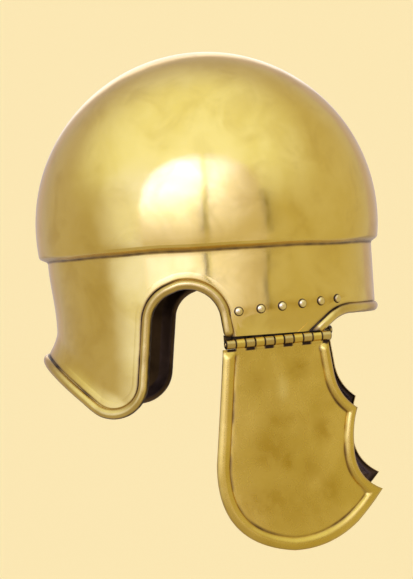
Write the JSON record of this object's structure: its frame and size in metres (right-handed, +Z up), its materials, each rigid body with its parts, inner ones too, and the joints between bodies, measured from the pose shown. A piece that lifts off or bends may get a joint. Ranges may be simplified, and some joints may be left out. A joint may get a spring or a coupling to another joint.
{
  "type": "gladiator helmet with hinged cheek pieces",
  "caption": "Polished brass gladiator helmet: stepped dome, rolled edges, ear arches, deep flared neck guard and hinged cheek pieces with scalloped fronts.",
  "frame": {"origin": "inside of the crown's highest point, where the helmet rests on a head", "axes": "+Z up; the wearer looks along -Y; +X is the wearer's left"},
  "size_m": [0.204, 0.2361, 0.3351],
  "materials": {
    "polished_brass": "polished sheet brass with faint hammer waves and tarnish",
    "cheek_brass": "satin sheet brass, cloudy with finger stains",
    "hinge_brass": "worn brass with dark joints",
    "rivet_brass": "bright domed heads"
  },
  "bodies": {
    "helmet": {"shell": "polished_brass", "hinge_leaf_right": "hinge_brass", "hinge_pin_right": "hinge_brass", "rivet_right_1": "rivet_brass", "rivet_right_2": "rivet_brass", "rivet_right_3": "rivet_brass", "rivet_right_4": "rivet_brass", "rivet_right_5": "rivet_brass", "rivet_right_6": "rivet_brass", "hinge_leaf_left": "hinge_brass", "hinge_pin_left": "hinge_brass", "rivet_left_1": "rivet_brass", "rivet_left_2": "rivet_brass", "rivet_left_3": "rivet_brass", "rivet_left_4": "rivet_brass", "rivet_left_5": "rivet_brass", "rivet_left_6": "rivet_brass"},
    "right_cheek": {"cheek_right": "cheek_brass"},
    "left_cheek": {"cheek_left": "cheek_brass"}
  },
  "joints": [
    {"name": "right_cheek_hinge", "type": "hinge", "parent": "helmet", "child": "right_cheek", "pos_m": [-0.08272, -0.04721, -0.1975], "axis": [-0.3891, 0.921, -0.0206], "range_deg": [-30, 130]},
    {"name": "left_cheek_hinge", "type": "hinge", "parent": "helmet", "child": "left_cheek", "pos_m": [0.08272, -0.04721, -0.1975], "axis": [-0.3891, -0.921, 0.0206], "range_deg": [-30, 130]}
  ]
}
